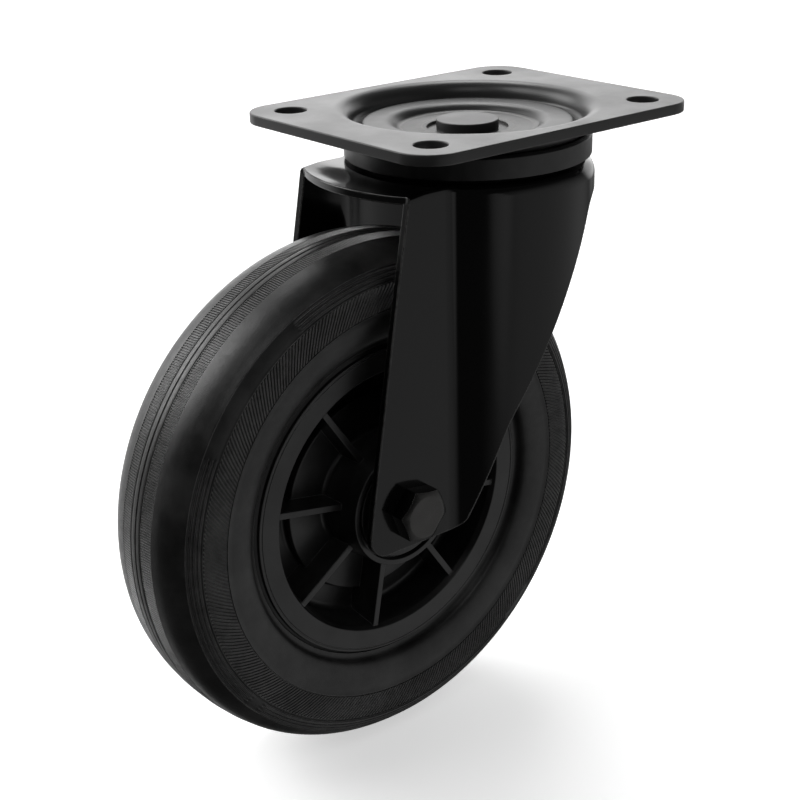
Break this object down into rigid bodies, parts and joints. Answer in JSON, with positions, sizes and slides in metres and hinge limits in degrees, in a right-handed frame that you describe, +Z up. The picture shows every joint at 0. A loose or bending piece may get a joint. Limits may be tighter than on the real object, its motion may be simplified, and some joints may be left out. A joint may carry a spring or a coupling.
{
  "type": "swivel caster",
  "caption": "Swivel caster with a pressed top plate on a double ball race, a drawn fork and a roller-bearing wheel with a solid rubber tyre.",
  "frame": {"origin": "centre of the bolt pattern on the top face of the plate, on the swivel axis", "axes": "+Z up out of the plate's top face along the swivel axis, +Y along the wheel's axle, and the wheel trails towards -X"},
  "size_m": [0.2237, 0.11, 0.2384],
  "materials": {
    "plate_paint": "satin black paint",
    "fork_paint": "gloss black paint",
    "pin_paint": "satin black paint",
    "race_steel": "satin black paint",
    "seal_plastic": "satin black moulded",
    "bearing_steel": "ground and polished",
    "sleeve_steel": "drawn tube, zinc plated",
    "black_zinc": "black zinc plated",
    "nylon": "natural nylon",
    "cage_plastic": "natural nylon",
    "wheel_plastic": "satin black moulded, slightly grained",
    "tyre_rubber": "matte black rubber with fine moulded ribs"
  },
  "bodies": {
    "plate": {"top_plate": "plate_paint", "king_pin": "pin_paint", "lower_race": "race_steel"},
    "fork": {"fork": "fork_paint", "dust_seal": "seal_plastic", "axle_bolt": "black_zinc", "axle_nut": "black_zinc", "nut_insert": "nylon", "axle_sleeve": "sleeve_steel"},
    "wheel": {"wheel_centre": "wheel_plastic", "tyre": "tyre_rubber", "hub_disc_near": "wheel_plastic", "hub_disc_far": "wheel_plastic"},
    "bearing": {"roller_cage": "cage_plastic", "rollers": "bearing_steel"},
    "upper_row": {"upper_balls": "bearing_steel"},
    "lower_row": {"lower_balls": "bearing_steel"}
  },
  "joints": [
    {"name": "swivel", "type": "hinge", "parent": "plate", "child": "fork", "pos_m": [0, 0, 0], "axis": [0, 0, 1], "continuous": true},
    {"name": "wheel_spin", "type": "hinge", "parent": "fork", "child": "wheel", "pos_m": [-0.0563, 0, -0.1385], "axis": [0, 1, 0], "continuous": true},
    {"name": "bearing_orbit", "type": "hinge", "parent": "fork", "child": "bearing", "pos_m": [-0.0563, 0, -0.1385], "axis": [0, 1, 0], "continuous": true},
    {"name": "upper_row_orbit", "type": "hinge", "parent": "plate", "child": "upper_row", "pos_m": [0, 0, -0.01348], "axis": [0, 0, 1], "continuous": true},
    {"name": "lower_row_orbit", "type": "hinge", "parent": "plate", "child": "lower_row", "pos_m": [0, 0, -0.02424], "axis": [0, 0, 1], "continuous": true}
  ],
  "couplings": [
    {"joint": "bearing_orbit", "follows": "wheel_spin", "ratio": 0.601},
    {"joint": "upper_row_orbit", "follows": "swivel", "ratio": 0.5},
    {"joint": "lower_row_orbit", "follows": "swivel", "ratio": 0.5}
  ]
}
